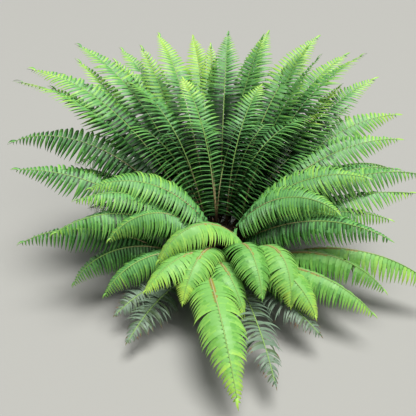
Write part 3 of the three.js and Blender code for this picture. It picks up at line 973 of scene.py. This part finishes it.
# The material of every face of a frond's leaflets.
def leafletSlots(frond, tier, v, lit, raised, draw):
    plan, look = tonePlan, tiers[tier]
    master = leafletMasters[look["leaflet"]]
    crosswise, onward = master["middles"][:, 0], master["middles"][:, 1]
    if tier == "old":
        return oldShades(v, onward, draw)
    count, faces = len(v), len(onward)
    chances = {name: chance(frond.number * rate) for name, rate in plan["chances"].items()}
    frondTone = plan["frond"] * (chances["frond"] - 0.5)
    if chances["young"] < plan["youngShare"]:
        frondTone = plan["young"]
    tone = mix(look["tone"], lit) + frondTone + plan["stray"] * draw.standard_normal(count)
    tone = tone[:, None] + plan["tip"] * (onward[None] - plan["evenAt"])
    # Painted shade: one half of each leaflet, the one that looks to the frond's foot, is darker.
    tone = tone - look["halfShade"] * (crosswise < 0)[None]
    tone = tone + plan["dither"] * (draw.random((count, faces)) - 0.5)
    tone = tone + mix(plan["end"], chances["end"]) * fade(plan["endZone"], v[:, None])
    if tier in plan["raised"]:
        hollow = fade((0, plan["fullHollow"]), math.sin(math.radians(frond.heading)))
        tone = tone - plan["hollow"] * hollow * (1 - v[:, None]) * (1 - raised[:, None])
        tone = tone + plan["raised"][tier] * raised[:, None]
    slots = stepSlots[np.clip(np.round(2 * tone), 0, len(stepSlots) - 1).astype(int)]
    # A painted bluish sheen, standing in for the sky's reflection, lies on the inner part of the leaflets.
    sheenReach = mix(look["sheen"], lit[:, None]) * mix(plan["sheenStray"], draw.random((count, 1)))
    sheen = onward[None] + plan["sheenDither"] * draw.random((count, faces)) < sheenReach
    sheen = sheen & (tone > plan["sheenTones"][0]) & (tone < plan["sheenTones"][1])
    sheenShades = plan["youngSheenShades" if tier == "front" else "sheenShades"]
    dimmer, brighter = (leafSlot[name] for name in sheenShades)
    slots = np.where(sheen, np.where(tone > plan["brightSheen"], brighter, dimmer), slots)
    if tier == "front":
        brownFoot = draw.random((count, 1)) * plan["footFade"] < plan["footReach"] - v[:, None]
        slots = np.where(brownFoot & (onward[None] < plan["footShare"]), leafSlot["leafFoot"], slots)
    # Undersides have shades of their own; which one follows the tone, painted light and shade included.
    under = np.where(tone > plan["paleUnder"], leafSlot["leafUnderPale"], leafSlot["leafUnder"])
    slots = np.where(master["normals"][:, 2] > 0, slots, under)
    dry = (draw.random((count, 1)) < plan["dryTips"]) & (onward[None] > plan["dryFrom"])
    return np.where(dry, leafSlot["leafDry"], slots)


# Grey and olive, dry towards the tips.
def oldShades(v, onward, draw):
    plan = oldPlan
    count, faces = len(v), len(onward)
    pick = draw.random((count, 1)) + plan["dapple"] * (draw.random((count, faces)) - 0.5)
    slots = np.where(pick < plan["greyShare"], leafSlot["leafOldGrey"], leafSlot["leafOldOlive"])
    dryness = v[:, None] * plan["dryBlade"] + onward[None] * plan["dryLeaflet"]
    dryness = dryness + plan["dryStray"] * draw.random((count, 1))
    return np.where(dryness > plan["dryFrom"], leafSlot["leafDry"], slots)


# The frond's own narrow tip.
endLeaflet = {
    "length": 1.35,  # of the rib that is left past the last leaflets
    "width": 0.26,  # of its length
    "shadedAs": 0.95,  # it has the shades of a leaflet at this share of the blade
}


def addEndLeaflet(pile, frond, tier, draw):
    look = endLeaflet
    shares = np.array([1 - look["length"] * (1 - leafletPlan["endShare"]), 1.0])
    first, last = frond.place(shares)
    if last[2] < plant["groundClearance"]:
        return
    _, left, up = frond.sides(shares)
    chord = (last - first)[None]
    size = np.linalg.norm(chord, axis=1)
    points = layLeaflets(tier, first[None], chord, size, left[:1], up[:1], size * look["width"], draw)
    end = np.array([look["shadedAs"]])
    slots = leafletSlots(frond, tier, end, end, np.zeros(1), draw)
    pile.add(leafletMasters[tiers[tier]["leaflet"]], points, slots, mirrored=np.array([True]))


ribPlan = {
    "tipWidth": 0.3,  # of the last ring, against the rest of the taper
    "lowered": 0.1,  # of its depth
    "footStops": 0.9,  # share of the colour's stops that is passed within the brown part
}


def addRib(pile, frond, tier):
    plan = ribPlan
    x, y, z = stalkMaster["points"].T
    share = np.clip(y, 0, 1)
    halfStep = 0.5 / stalkShape["lengths"]
    along, left, up = frond.sides(share)
    place = frond.place(share) - along * (plant["sink"] * (share < halfStep))[:, None]
    narrow = np.where(share > 1 - halfStep, plan["tipWidth"], 1)
    crosswise = x * mix(plant["ribWidth"], share) * narrow
    upward = (z - plan["lowered"]) * mix(plant["ribDepth"], share) * narrow
    points = place + left * crosswise[:, None] + up * upward[:, None]
    brown = fade((0, tiers[tier]["brown"]), share)
    values = brown * plan["footStops"] + (1 - plan["footStops"]) * share
    pile.add(stalkMaster, points[None], values=values[None])


# Papery scales on the stalks.
scalePlan = {
    "perStalk": 26,
    "reach": 0.16,  # of the rib's length
    "crowding": 1.4,  # above 1 they crowd to the foot
    "seat": 0.85,  # of the rib's half width, from its middle
    "lowered": 0.25,  # of the rib's depth
    "spread": (0.25, 0.75),
    "length": (7.0, 15.0),
    "width": 2.6,
}


# Adds copies that start at their roots and point ahead, their width square to the outward way.
def addStraight(pile, master, root, ahead, outward, length, width, depth):
    x, y, z = master["points"].T
    across = unit(np.cross(ahead, outward))
    normal = np.cross(across, ahead)
    pile.add(master, root[:, None] + ahead[:, None] * (y * length[:, None])[..., None]
             + across[:, None] * (x * width[:, None])[..., None]
             + normal[:, None] * (z * depth[:, None])[..., None])


def addStalkScales(pile, frond, draw):
    plan = scalePlan
    number = plan["perStalk"]
    share = plan["reach"] * draw.random(number) ** plan["crowding"]
    along, left, up = frond.sides(share)
    turn = draw.random(number) * 2 * math.pi
    outward = left * np.cos(turn)[:, None] + up * np.sin(turn)[:, None]
    root = frond.place(share) + outward * (plant["ribWidth"][0] / 2 * plan["seat"])
    root = root - up * plant["ribDepth"][0] * plan["lowered"]
    ahead = unit(along + outward * mix(plan["spread"], draw.random(number))[:, None])
    length = mix(plan["length"], draw.random(number))
    width = np.full(number, plan["width"])
    addStraight(pile, scaleMaster, root, ahead, outward, length, width, length)


tierNodes = {
    tier: [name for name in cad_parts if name.startswith(tier + "_")] for tier in fronds
}
print({tier: len(nodes) for tier, nodes in tierNodes.items()})


def dress(piece, tier):
    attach(piece, "root")
    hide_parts(*tierNodes[tier])


firstSeed = 100  # of the first tier's draws; the next tiers count on from it
for number, (tier, members) in enumerate(rows.items()):
    draw = np.random.default_rng(firstSeed + number)
    leaves, ribs, scales = Pile(), Pile(), Pile()
    for frond in members:
        addLeaflets(leaves, frond, tier, draw)
        addRib(ribs, frond, tier)
        addStalkScales(scales, frond, draw)
    dress(leaves.build(tier + "_leaflets", list(leafMaterials.values())), tier)
    dress(ribs.build(tier + "_ribs", [ribSkin], attribute=ribLook["attribute"]), tier)
    dress(scales.build(tier + "_stalk_scales", [scaleSkin], smooth=False), tier)
print("fronds made")


# Rootstock: a mound with its lumps, papery scales and the stubs of old stalks.
mound = {
    "segments": 72,
    "rings": 36,
    "inset": 6.0,  # leaves room for the lumps inside the solid
    "lumpHeight": 9.0,
    "lumpSize": 0.045,  # in metres
    "lumpDetail": 3,
    "lumpLevel": 0.6,  # of the pattern, where a lump neither rises nor sinks
    "smoothAngle": 50,
    "seed": 31,
    "sunk": 5.0,  # of the feet of scales and stubs
}
moundScales = {
    "number": 1500,
    "lowest": 0.03,  # sine of the angle above the ground, seen from the mound's middle
    "outward": 0.5,
    "stray": 0.25,
    "length": (9.0, 20.0),
    "width": 3.4,
}
oldStubs = {
    "number": 70,
    "lowest": 0.12,
    "upward": 0.45,
    "stray": 0.22,
    "foot": 10.0,  # sunk as well
    "length": (25.0, 80.0),
    "width": 8.0,
    "widthShares": (0.75, 1.15),
    "aside": (0.3, 0.2, 1.0),  # a way that no stub points, so their widths lie square to it
}


def modelRootstock():
    look = mound
    bpy.ops.mesh.primitive_uv_sphere_add(segments=look["segments"], ring_count=look["rings"], radius=1)
    body = bpy.context.object
    body.name = "rootstock_mound"
    radius = (plant["rootstockRadius"] - look["inset"]) / perMetre
    body.scale = (radius, radius, (plant["rootstockHeight"] - look["inset"]) / perMetre)
    bpy.ops.object.transform_apply(location=False, rotation=False, scale=True)
    for vertex in body.data.vertices:
        turn = math.atan2(vertex.co.y, vertex.co.x)
        level = math.hypot(vertex.co.x, vertex.co.y) / (plant["rootstockRadius"] / perMetre)
        lobe = 1 + plant["lobeDepth"] * math.cos(plant["lobes"] * turn) * level**2
        vertex.co.x *= lobe
        vertex.co.y *= lobe
    texture = bpy.data.textures.new("moundLumps", "CLOUDS")
    texture.noise_scale = look["lumpSize"]
    texture.noise_depth = look["lumpDetail"]
    lumps = body.modifiers.new("lumps", "DISPLACE")
    lumps.texture = texture
    lumps.texture_coords = "LOCAL"
    lumps.strength = look["lumpHeight"] / perMetre
    lumps.mid_level = look["lumpLevel"]
    bpy.ops.object.modifier_apply(modifier="lumps")
    bpy.ops.object.mode_set(mode="EDIT")
    bpy.ops.mesh.select_all(action="SELECT")
    bpy.ops.mesh.bisect(plane_co=(0, 0, 0), plane_no=(0, 0, -1), use_fill=True, clear_outer=True)
    finishEdit()
    bpy.ops.object.shade_smooth_by_angle(angle=math.radians(look["smoothAngle"]))
    body.data.materials.append(barkSkin)
    body.select_set(False)
    return body


# Places just under the mound's skin, and the directions outwards there.
def moundSpots(look, draw):
    turn = draw.random(look["number"]) * 2 * math.pi
    rise = np.arcsin(look["lowest"] + (1 - look["lowest"]) * draw.random(look["number"]))
    lobe = 1 + plant["lobeDepth"] * np.cos(plant["lobes"] * turn) * np.cos(rise) ** 2
    reach = (plant["rootstockRadius"] - mound["sunk"]) * np.cos(rise) * lobe
    height = (plant["rootstockHeight"] - mound["sunk"]) * np.sin(rise)
    return np.stack([reach * np.cos(turn), reach * np.sin(turn), height], -1), pointing(rise, turn)


def addMoundScales(draw):
    look = moundScales
    number = look["number"]
    spot, outward = moundSpots(look, draw)
    stray = look["stray"] * draw.standard_normal((number, 3))
    ahead = unit(np.array([0, 0, 1.0]) + look["outward"] * outward + stray)
    length = mix(look["length"], draw.random(number))
    width = np.full(number, look["width"])
    pile = Pile()
    addStraight(pile, scaleMaster, spot, ahead, outward, length, width, length)
    return pile.build("rootstock_scales", [scaleSkin], smooth=False)


def addOldStubs(draw):
    look = oldStubs
    number = look["number"]
    spot, outward = moundSpots(look, draw)
    stray = look["stray"] * draw.standard_normal((number, 3))
    ahead = unit(outward + np.array([0, 0, look["upward"]]) + stray)
    length = mix(look["length"], draw.random(number))
    width = look["width"] * mix(look["widthShares"], draw.random(number))
    foot = spot - ahead * look["foot"]
    pile = Pile()
    addStraight(pile, stalkMaster, foot, ahead, np.array(look["aside"]), length, width, width)
    return pile.build("old_stalk_stubs", [stubSkin])


draw = np.random.default_rng(mound["seed"])
for piece in (modelRootstock(), addMoundScales(draw), addOldStubs(draw)):
    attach(piece, "root")
    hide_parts("rootstock")
print("rootstock made")


addCamera()
addStudio()
print("camera, floor and light set")
